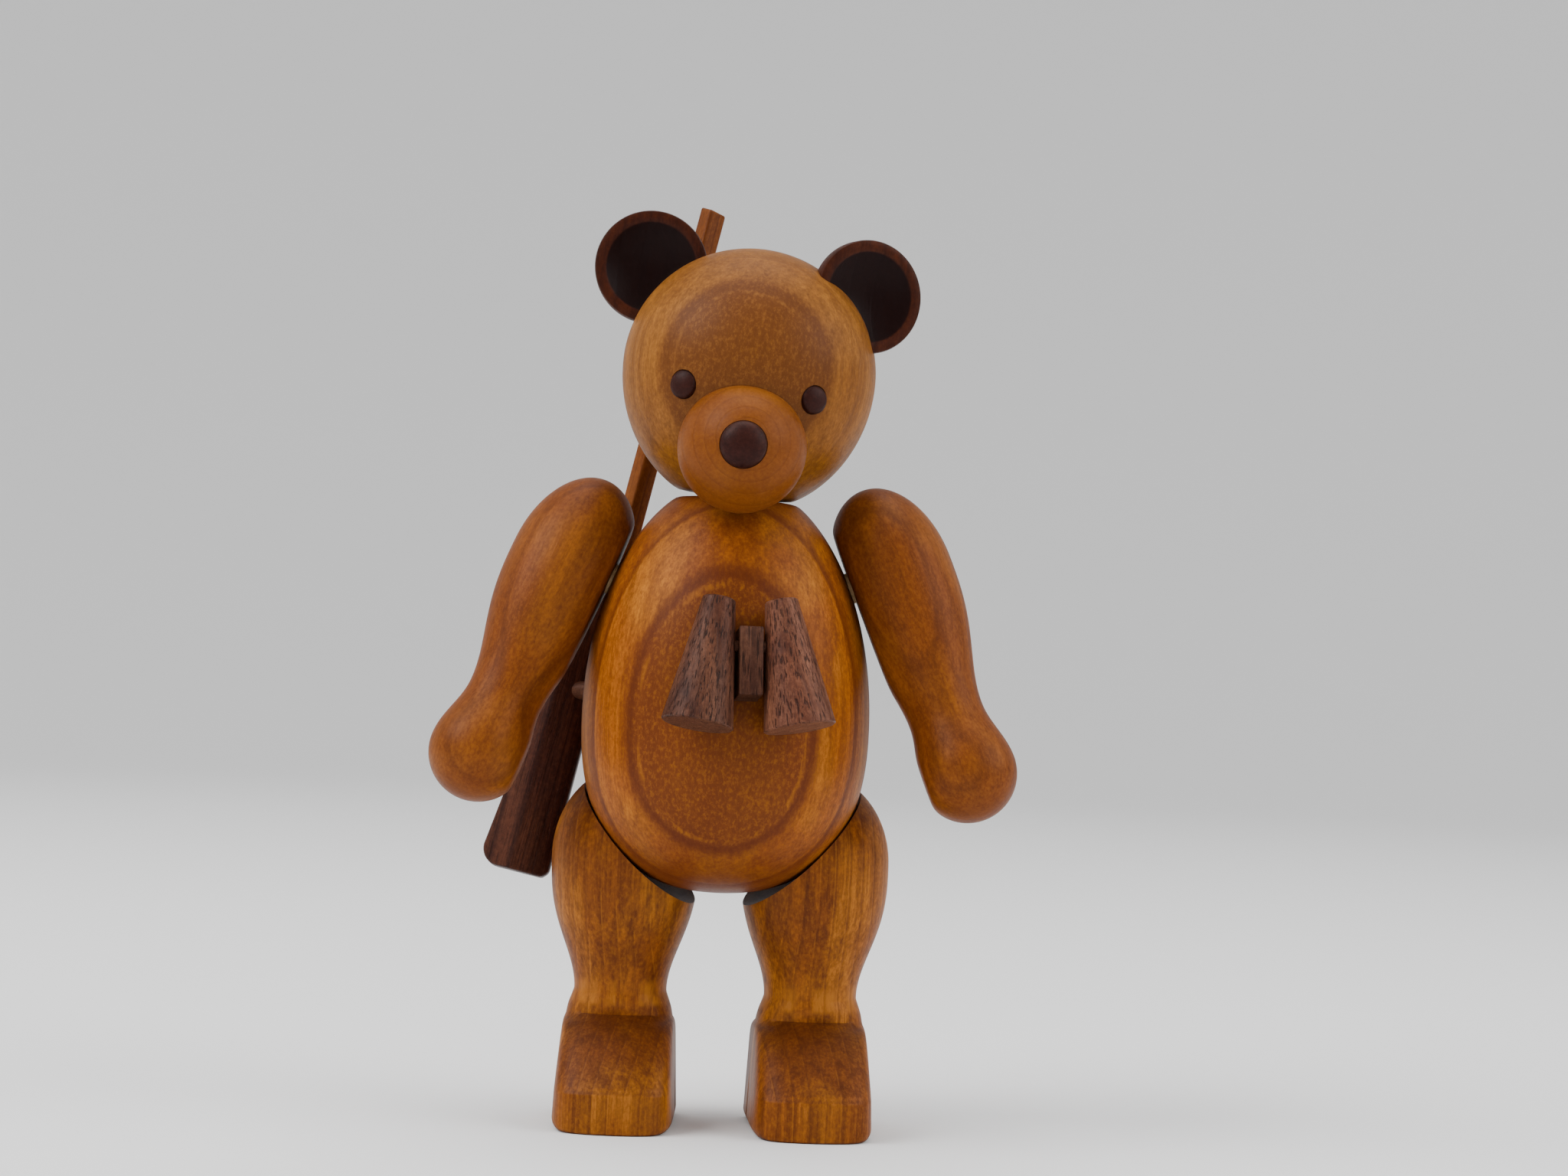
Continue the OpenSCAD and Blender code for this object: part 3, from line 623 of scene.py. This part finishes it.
def makeArms():
    for name, side in sides.items():
        at, axis = jointPlace(f"arm_{name}_swing")
        outward = axis if axis.x * side > 0 else -axis
        rise = math.asin(outward.z)

        def flatInside(points, side=side):
            points[:, 0] = side * softMax(side * points[:, 0], -arms["flat"], arms["edge"])
            return points

        place = (Matrix.Translation(at) @ Matrix.Rotation(-rise * side, 4, "Y")
                 @ Matrix.Rotation(math.radians(-arms["swing"][name]), 4, "X")
                 @ Matrix.Translation(Vector((side * (arms["gap"] + arms["flat"]), 0, arms["pinAt"])) * mm))
        arm = turned(f"armTurned.{name}", armProfile(), place, 144, flatInside)
        grain = tuple(place.to_3x3() @ Vector((0, 0, 1)))
        finishPiece(arm, f"arm_{name}", f"arm_{name}", wood(
            f"armWood.{name}", light=(0.20, 0.052, 0.006), patch=(0.31, 0.102, 0.014),
            dark=(0.060, 0.013, 0.003), end=(0.13, 0.032, 0.005), grain=grain,
            pith=(side * 90, 160, 0), ring=6.0, ringShow=0.4,
            fibreShow=0.4, fleckShow=0.45, endFrom=0.5, endShow=0.5, seed=51.0 + 7 * side))


makeArms()
print("arms turned")



legs = {
    "x": 15.21,
    "back": 4.0,          # behind the body's axis
    "thigh": 11.8,
    "thighZ": 42.0,
    "top": 14.3,
    "ankle": 7.4,
    "ankleZ": 20.8,
    "shape": 1.4,
    "seat": 26.05,         # radius of the hollow that takes the body
    "gap": 0.2,
    "toeOut": {"left": 4.5, "right": 0.0},
}
foot = {
    "width": 19.1,
    "toe": 20.0,
    "heel": 8.6,
    "toeHigh": 7.0,
    "round": 1.7,
    "flare": 4.3,
    "bow": 13.0,          # radius of the toe's front, seen from above
    "taper": 0.045,       # the sides lean in towards the ankle
    "instepShape": 1.35,
    "soft": 11.0,         # higher is squarer
    "instepDown": 3.5,    # from the ankle to the top of the instep
    "toeStep": 0.6,
    "edge": 0.5,          # rounding round the sole
    "bellShape": 1.3,
    "bellSlope": 2.4,
}


def legRadius(z):
    if z >= legs["thighZ"]:
        up = min((z - legs["thighZ"]) / legs["top"], 1.0)
        return legs["thigh"] * math.sqrt(max(1 - up * up, 0))
    t = (legs["thighZ"] - z) / (legs["thighZ"] - legs["ankleZ"])
    return legs["thigh"] - (legs["thigh"] - legs["ankle"]) * ease(min(t, 1.0) ** legs["shape"])


def footReach(z):
    instepTop = legs["ankleZ"] - foot["instepDown"]
    if z <= foot["toeHigh"] - 1:
        front = foot["toe"]
    elif z >= instepTop:
        front = legs["ankle"] + 0.1
    else:
        rise = max((z - foot["toeHigh"]) / (instepTop - foot["toeHigh"]), 0)
        instep = foot["toe"] - foot["toeStep"] - legs["ankle"]
        front = legs["ankle"] + instep * (1 - rise) ** (1 / foot["instepShape"])
        if z < foot["toeHigh"]:
            front = foot["toe"] - foot["toeStep"] * ease(z - foot["toeHigh"] + 1)
    low = min(z, foot["round"])
    tuck = foot["round"] - math.sqrt(max(foot["round"] ** 2 - (foot["round"] - low) ** 2, 0))
    e = foot["edge"]
    edge = e - math.sqrt(max(e ** 2 - (e - min(z, e)) ** 2, 0))
    half = foot["width"] / 2 - tuck - foot["taper"] * max(z - foot["round"], 0)
    slope = max(z - (legs["ankleZ"] - foot["flare"]), 0) / foot["flare"]
    back = foot["heel"] - (foot["heel"] - legs["ankle"]) * min(slope, 1)
    return front - edge, half, back - edge


def bowInverse(s, front):
    # one over the distance to the bowed toe along a ray; s is the ray's share of the way back
    centre = front - foot["bow"]
    if s >= 0:
        return 0
    ahead = -s * centre
    return 1 / (ahead + math.sqrt(ahead ** 2 + foot["bow"] ** 2 - centre ** 2))


def makeLegs():
    around = 192
    heights = np.concatenate([
        np.linspace(0, foot["round"], 14), np.linspace(foot["round"], foot["toeHigh"] - 1, 8)[1:],
        np.linspace(foot["toeHigh"] - 1, foot["toeHigh"] + 1.5, 12)[1:],
        np.linspace(foot["toeHigh"] + 1.5, legs["ankleZ"], 40)[1:],
        np.linspace(legs["ankleZ"], legs["thighZ"], 40)[1:],
        legs["thighZ"] + legs["top"] * np.sin(np.linspace(0, math.pi / 2, 32))[1:-1]])
    angles = np.linspace(0, 2 * math.pi, around, endpoint=False)
    for name, side in sides.items():
        points = []
        for z in heights:
            if z >= legs["ankleZ"]:
                points += [(legRadius(z) * math.cos(a), legRadius(z) * math.sin(a), z) for a in angles]
                continue
            front, half, back = footReach(z)
            down = legs["ankleZ"] - z
            spread = (down / foot["flare"]) ** foot["bellShape"]
            bell = legs["ankle"] + (foot["width"] / 2 - legs["ankle"]) * spread
            if down > foot["flare"]:
                bell = foot["width"] / 2 + (down - foot["flare"]) * foot["bellSlope"]
            blend = ease(min(down / foot["flare"], 1.0))
            for a in angles:
                c, s = math.cos(a), math.sin(a)
                reach = front if s < 0 else back
                p = foot["soft"]
                pulls = (1 / bell, abs(c) / half, abs(s) / reach, bowInverse(s, front))
                r = sum(pull ** p for pull in pulls) ** (-1 / p)
                r = r * blend + bell * (1 - blend)
                points.append((r * c, r * s, z))
        points += [(0, 0, 0), (0, 0, legs["thighZ"] + legs["top"])]
        place = (Matrix.Translation(Vector((side * legs["x"] * mm, bodyAxisY + legs["back"] * mm, floorZ)))
                 @ Matrix.Rotation(math.radians(legs["toeOut"][name]), 4, "Z"))
        world = [place @ (Vector(p) * mm) for p in points]
        leg = addObject(f"legTurned.{name}", world, ringFaces(len(heights), around), sharp=50)
        at, axis = jointPlace(f"leg_{name}_swing")
        outward = axis if axis.x * side > 0 else -axis
        centre = at - outward * legs["seat"] * mm
        ballRadius = legs["seat"] + legs["gap"]
        halfRound = joinPoints(quarter(ballRadius, ballRadius, -90, 90, steps=120))
        ball = turned("seatBall", halfRound, Matrix.Translation(centre), 160)
        cutAway(leg, ball, 50)
        # painted light: the band paints the ankles paler
        finishPiece(leg, f"leg_{name}", f"leg_{name}", wood(
            f"legWood.{name}", light=(0.265, 0.074, 0.008), patch=(0.45, 0.155, 0.016),
            dark=(0.065, 0.014, 0.003), end=(0.046, 0.010, 0.003), grain=(0, 0.02, 1),
            pith=(side * 180, 40, 0), ring=2.4, ringShow=0.35, lineShow=0.3, band=(18.3, 23.5),
            fibreShow=0.65, fleckShow=0.6, patchShow=0.75, endFrom=0.25, endShow=0.8, seed=71.0 + 5 * side))


makeLegs()
print("legs lofted")



binocular = {
    "length": 19.8,
    "eyeRadius": 2.5,
    "farRadius": 5.5,
    "splay": 9.0,
    "lean": 11.0,
    "bridge": (3.65, 10.5),      # wide and high
    "bridgeFront": 2.2,
    "bridgeBack": 4.2,
    "pinUp": 2.5,         # the cross pin above the bridge's middle
    "gap": 0.4,
    "edge": 0.22,
}


def makeBinocular():
    cross = middle("binocular_crosspin")
    lean = math.radians(-binocular["lean"])
    turn = math.atan2(cross.x, bodyAxisY - cross.y)
    frameTurn = Matrix.Rotation(turn, 4, "Z") @ Matrix.Rotation(lean, 4, "X")
    origin = cross - (frameTurn.to_3x3() @ Vector((0, 0, binocular["pinUp"] * mm)))
    place = Matrix.Translation(origin) @ frameTurn
    midRadius = (binocular["eyeRadius"] + binocular["farRadius"]) / 2
    splay = math.radians(binocular["splay"])
    offset = binocular["bridge"][0] / 2 + binocular["gap"] + midRadius / math.cos(splay)
    half = binocular["length"] / 2
    e = binocular["edge"]
    profile = [(0, -half), (binocular["farRadius"] - e, -half), (binocular["farRadius"], -half + e)]
    profile += [(binocular["eyeRadius"] + e * 0.2, half - e), (binocular["eyeRadius"] - e, half), (0, half)]
    for name, side in sides.items():
        tubePlace = (place @ Matrix.Translation((side * offset * mm, 0, 0))
                     @ Matrix.Rotation(-side * splay, 4, "Y"))
        tube = turned(f"tubeTurned.{name}", profile, tubePlace, 96)
        along = tuple(tubePlace.to_3x3() @ Vector((0, 0, 1)))
        # painted light and shade: the bear's left tube is made lighter, the right tube darker
        finishPiece(tube, f"binocular_tube_{name}", "torso",
                    walnut(f"tubeWood.{name}", along, 81.0 + 9 * side, 0.95 + 0.22 * side))
    w, h = binocular["bridge"]
    block = addBox("bridgeBlock", (-w / 2, -binocular["bridgeFront"], -h / 2),
                   (w / 2, binocular["bridgeBack"], h / 2), place)
    roundEdges(block, 0.18, 2)
    up = tuple(place.to_3x3() @ Vector((0, 0, 1)))
    # painted shade: the bridge between the tubes is made darker
    finishPiece(block, "binocular_bridge", "torso", walnut("bridgeWood", up, 97.0, 0.58))


def addBox(name, low, high, place):
    xs, ys, zs = zip(low, high)
    corners = [place @ (Vector((x, y, z)) * mm) for z in zs for y in ys for x in xs]
    faces = [(0, 2, 3, 1), (4, 5, 7, 6), (0, 1, 5, 4), (2, 6, 7, 3), (0, 4, 6, 2), (1, 3, 7, 5)]
    return addObject(name, corners, faces)


# the last argument scales the whole tone: painted light and painted shade on copies of one walnut
def walnut(name, along, seed, paintedLightScale=1.0):
    def tone(r, g, b):
        return (r * paintedLightScale, g * paintedLightScale, b * paintedLightScale)
    return wood(name, light=tone(0.14, 0.047, 0.024), patch=tone(0.26, 0.11, 0.06),
                dark=tone(0.032, 0.009, 0.006),
                end=tone(0.120, 0.046, 0.022), grain=along, pith=(30, 20, 60), ring=2.6, ringShow=0.55,
                fibreShow=0.6, fibreFine=3.5, poreShow=0.75, endShow=0.4, rough=0.46, shine=0.12,
                bump=0.7, seed=seed)


makeBinocular()
print("binocular built")



rifle = {
    "side": 3.3,
    "barrelLength": 62.0,
    "tenon": 8.0,         # the part of the barrel let into the stock
    "turn": 35.0,
    "back": 8.0,
    "lean": 12.2,
    "stockLength": 53.5,
    "butt": 11.4,
    "neck": 6.0,
    "inner": 1.9,
    "half": 3.2,
    "ridge": -4.6,
    "round": 3.0,
}


def makeRifle():
    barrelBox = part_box("rifle_barrel")
    turnRifle = (Matrix.Rotation(math.radians(rifle["lean"]), 4, "Y")
                 @ Matrix.Rotation(math.radians(-rifle["back"]), 4, "X"))
    along = turnRifle.to_3x3() @ Vector((0, 0, 1))
    x, y, z = rifleOrigin(along)
    place = Matrix.Translation((x, y, z)) @ turnRifle
    s = rifle["side"] / 2
    stickPlace = place @ Matrix.Rotation(math.radians(rifle["turn"]), 4, "Z")
    stick = addBox("barrelStick", (-s, -s, 0), (s, s, rifle["barrelLength"]), stickPlace)
    # the end of the barrel is sawn a little out of square
    for v in stick.data.vertices:
        if v.co.z > barrelBox[1].z - 6 * mm:
            v.co += along * (0.35 * mm if v.co.x < x + 12 * mm else -0.5 * mm)
    roundEdges(stick, 0.45, 3)
    finishPiece(stick, "rifle_barrel", "torso", wood(
        "barrelWood", light=(0.19, 0.052, 0.006), patch=(0.26, 0.080, 0.012), dark=(0.06, 0.013, 0.002),
        end=(0.13, 0.034, 0.005), grain=tuple(along), pith=(10, 30, 0), ring=1.6, ringShow=0.5,
        fibreShow=0.6, fibreFine=3.0, rough=0.48, seed=101.0))
    makeStock(place, along)


def rifleOrigin(along):
    low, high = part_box("rifle_barrel")
    base = (low + high) / 2
    centre = (rifle["barrelLength"] - rifle["tenon"]) / 2 * mm
    return base - along * centre


def makeStock(place, along):
    i = rifle["inner"]
    outline = [(i, 0), (i - rifle["neck"] * 0.8, 0), (i - rifle["neck"], -3)]
    corner = np.radians(range(180, 271, 10))
    outline += [(i - rifle["butt"] + rifle["round"] * (1 + math.cos(a)),
                 -rifle["stockLength"] + rifle["round"] * (1 + math.sin(a))) for a in corner]
    outline += [(i - 1, -rifle["stockLength"]), (i, -rifle["stockLength"] + 1)]
    h = rifle["half"]
    count = len(outline)
    points = [(x, -2 * h, z) for x, z in outline] + [(x, 2 * h, z) for x, z in outline]
    faces = [tuple(range(count)), tuple(range(2 * count - 1, count - 1, -1))]
    faces += [(k, k + count, (k + 1) % count + count, (k + 1) % count) for k in range(count)]
    stock = addObject("stockShaped", [place @ (Vector(p) * mm) for p in points], faces)
    far = i - rifle["butt"] - 1
    section = [(rifle["ridge"], -h), (i + 1, 0), (i + 1, h), (far, h), (far, -0.6)]
    low, high = -rifle["stockLength"] - 1, 1
    n = len(section)
    core = [(x, y, low) for x, y in section] + [(x, y, high) for x, y in section]
    coreFaces = [tuple(range(n - 1, -1, -1)), tuple(range(n, 2 * n))]
    coreFaces += [(k, (k + 1) % n, (k + 1) % n + n, k + n) for k in range(n)]
    prism = addObject("stockSection", [place @ (Vector(p) * mm) for p in core], coreFaces)
    tool = stock.modifiers.new("section", "BOOLEAN")
    tool.operation = "INTERSECT"
    tool.solver = "EXACT"
    tool.object = prism
    graph = bpy.context.evaluated_depsgraph_get()
    shaped = bpy.data.meshes.new_from_object(stock.evaluated_get(graph))
    stock.modifiers.clear()
    stock.data = shaped
    bpy.data.objects.remove(prism)
    roundEdges(stock, 0.5, 3, 20)
    finishPiece(stock, "rifle_stock", "torso", wood(
        "stockWood", light=(0.070, 0.020, 0.011), patch=(0.125, 0.042, 0.020), dark=(0.009, 0.002, 0.002),
        end=(0.02, 0.006, 0.004), grain=tuple(along), pith=(20, 40, 0), ring=2.2, ringShow=0.5,
        fibreShow=0.55, fibreFine=2.8, poreShow=0.3, rough=0.44, shine=0.10, bump=0.4, seed=113.0))


makeRifle()
print("rifle shaped")



def finishDowels():
    spec = {"grain": (0.9, 0, 0.37), "pith": (0, 40, 0), "ring": 2.0, "ringShow": 0.3, "coat": 0.0}
    plain = wood("dowelWood", light=(0.55, 0.36, 0.18), patch=(0.62, 0.42, 0.22), dark=(0.32, 0.18, 0.08),
                 end=(0.42, 0.26, 0.12), rough=0.6, seed=131.0, **spec)
    stained = wood("stainedDowelWood", light=(0.09, 0.03, 0.014), patch=(0.13, 0.05, 0.024),
                   dark=(0.02, 0.006, 0.004), end=(0.05, 0.018, 0.01), rough=0.5, seed=137.0, **spec)
    for name, obj in nodes.items():
        if "pin" in name and "eye" not in name or "peg" in name or "dowel" in name:
            obj.data.materials.clear()
            obj.data.materials.append(stained if "binocular" in name or "rifle" in name else plain)


finishDowels()



studio = {
    "floor": (0.86, 0.86, 0.86),
    "flatRadius": 1.1,
    "wallRadius": 2.0,
    "world": 0.55,
    "key": {"at": (-0.75, -0.35, 0.85), "size": 0.8, "power": 12.0},
    "fill": {"at": (0.85, -0.25, 0.6), "size": 0.8, "power": 6.0},
    "top": {"at": (0.0, 0.1, 1.1), "size": 1.0, "power": 7.0},
}


def makeStudio():
    bend = studio["wallRadius"] - studio["flatRadius"]
    profile = [(0, 0), (studio["flatRadius"] / mm, 0)]
    profile += [((studio["flatRadius"] + bend * math.sin(math.radians(a))) / mm,
                 bend * (1 - math.cos(math.radians(a))) / mm) for a in range(6, 91, 6)]
    profile += [(studio["wallRadius"] / mm, 2000)]
    angle = np.linspace(0, 2 * math.pi, 96, endpoint=False)
    points = [(r * math.cos(a), r * math.sin(a), z) for r, z in profile[1:] for a in angle] + [(0, 0, 0)]
    bowl = addObject("studioBowl", [Vector(p) * mm for p in points],
                     ringFaces(len(profile) - 1, 96, True, False))
    material = bpy.data.materials.new("studioPaper")
    material.use_nodes = True
    shader = material.node_tree.nodes["Principled BSDF"]
    shader.inputs["Base Color"].default_value = (*studio["floor"], 1)
    shader.inputs["Roughness"].default_value = 0.9
    bowl.data.materials.append(material)
    world = bpy.data.worlds.new("studioAir")
    world.use_nodes = True
    world.node_tree.nodes["Background"].inputs["Color"].default_value = (1, 1, 1, 1)
    world.node_tree.nodes["Background"].inputs["Strength"].default_value = studio["world"]
    bpy.context.scene.world = world
    aim = Vector((0, 0, 0.07))
    for name in ("key", "fill", "top"):
        spec = studio[name]
        lamp = bpy.data.lights.new(name + "Light", "AREA")
        lamp.shape = "DISK"
        lamp.size = spec["size"]
        lamp.energy = spec["power"]
        holder = bpy.data.objects.new(name + "Light", lamp)
        holder.location = spec["at"]
        holder.rotation_euler = (aim - Vector(spec["at"])).to_track_quat("-Z", "Y").to_euler()
        bpy.context.scene.collection.objects.link(holder)


view = {
    "distance": 0.5,
    "height": 0.078,
    "side": 0.00845,       # the lens stands a little to the bear's left
    "aimHeight": 0.0859,
    "roll": 2.3,          # degrees; the picture leans a little
    "lens": 72.0,
}


def makeCamera():
    lens = bpy.data.cameras.new("studioCamera")
    lens.lens = view["lens"]
    lens.sensor_width = 36
    camera = bpy.data.objects.new("studioCamera", lens)
    at = Vector((view["side"], bodyAxisY - view["distance"], view["height"]))
    aim = Vector((view["side"], bodyAxisY, view["aimHeight"]))
    look = (aim - at).to_track_quat("-Z", "Y").to_matrix().to_4x4()
    camera.matrix_world = Matrix.Translation(at) @ look @ Matrix.Rotation(math.radians(view["roll"]), 4, "Z")
    bpy.context.scene.collection.objects.link(camera)
    bpy.context.scene.camera = camera


makeStudio()
makeCamera()
print("studio ready")
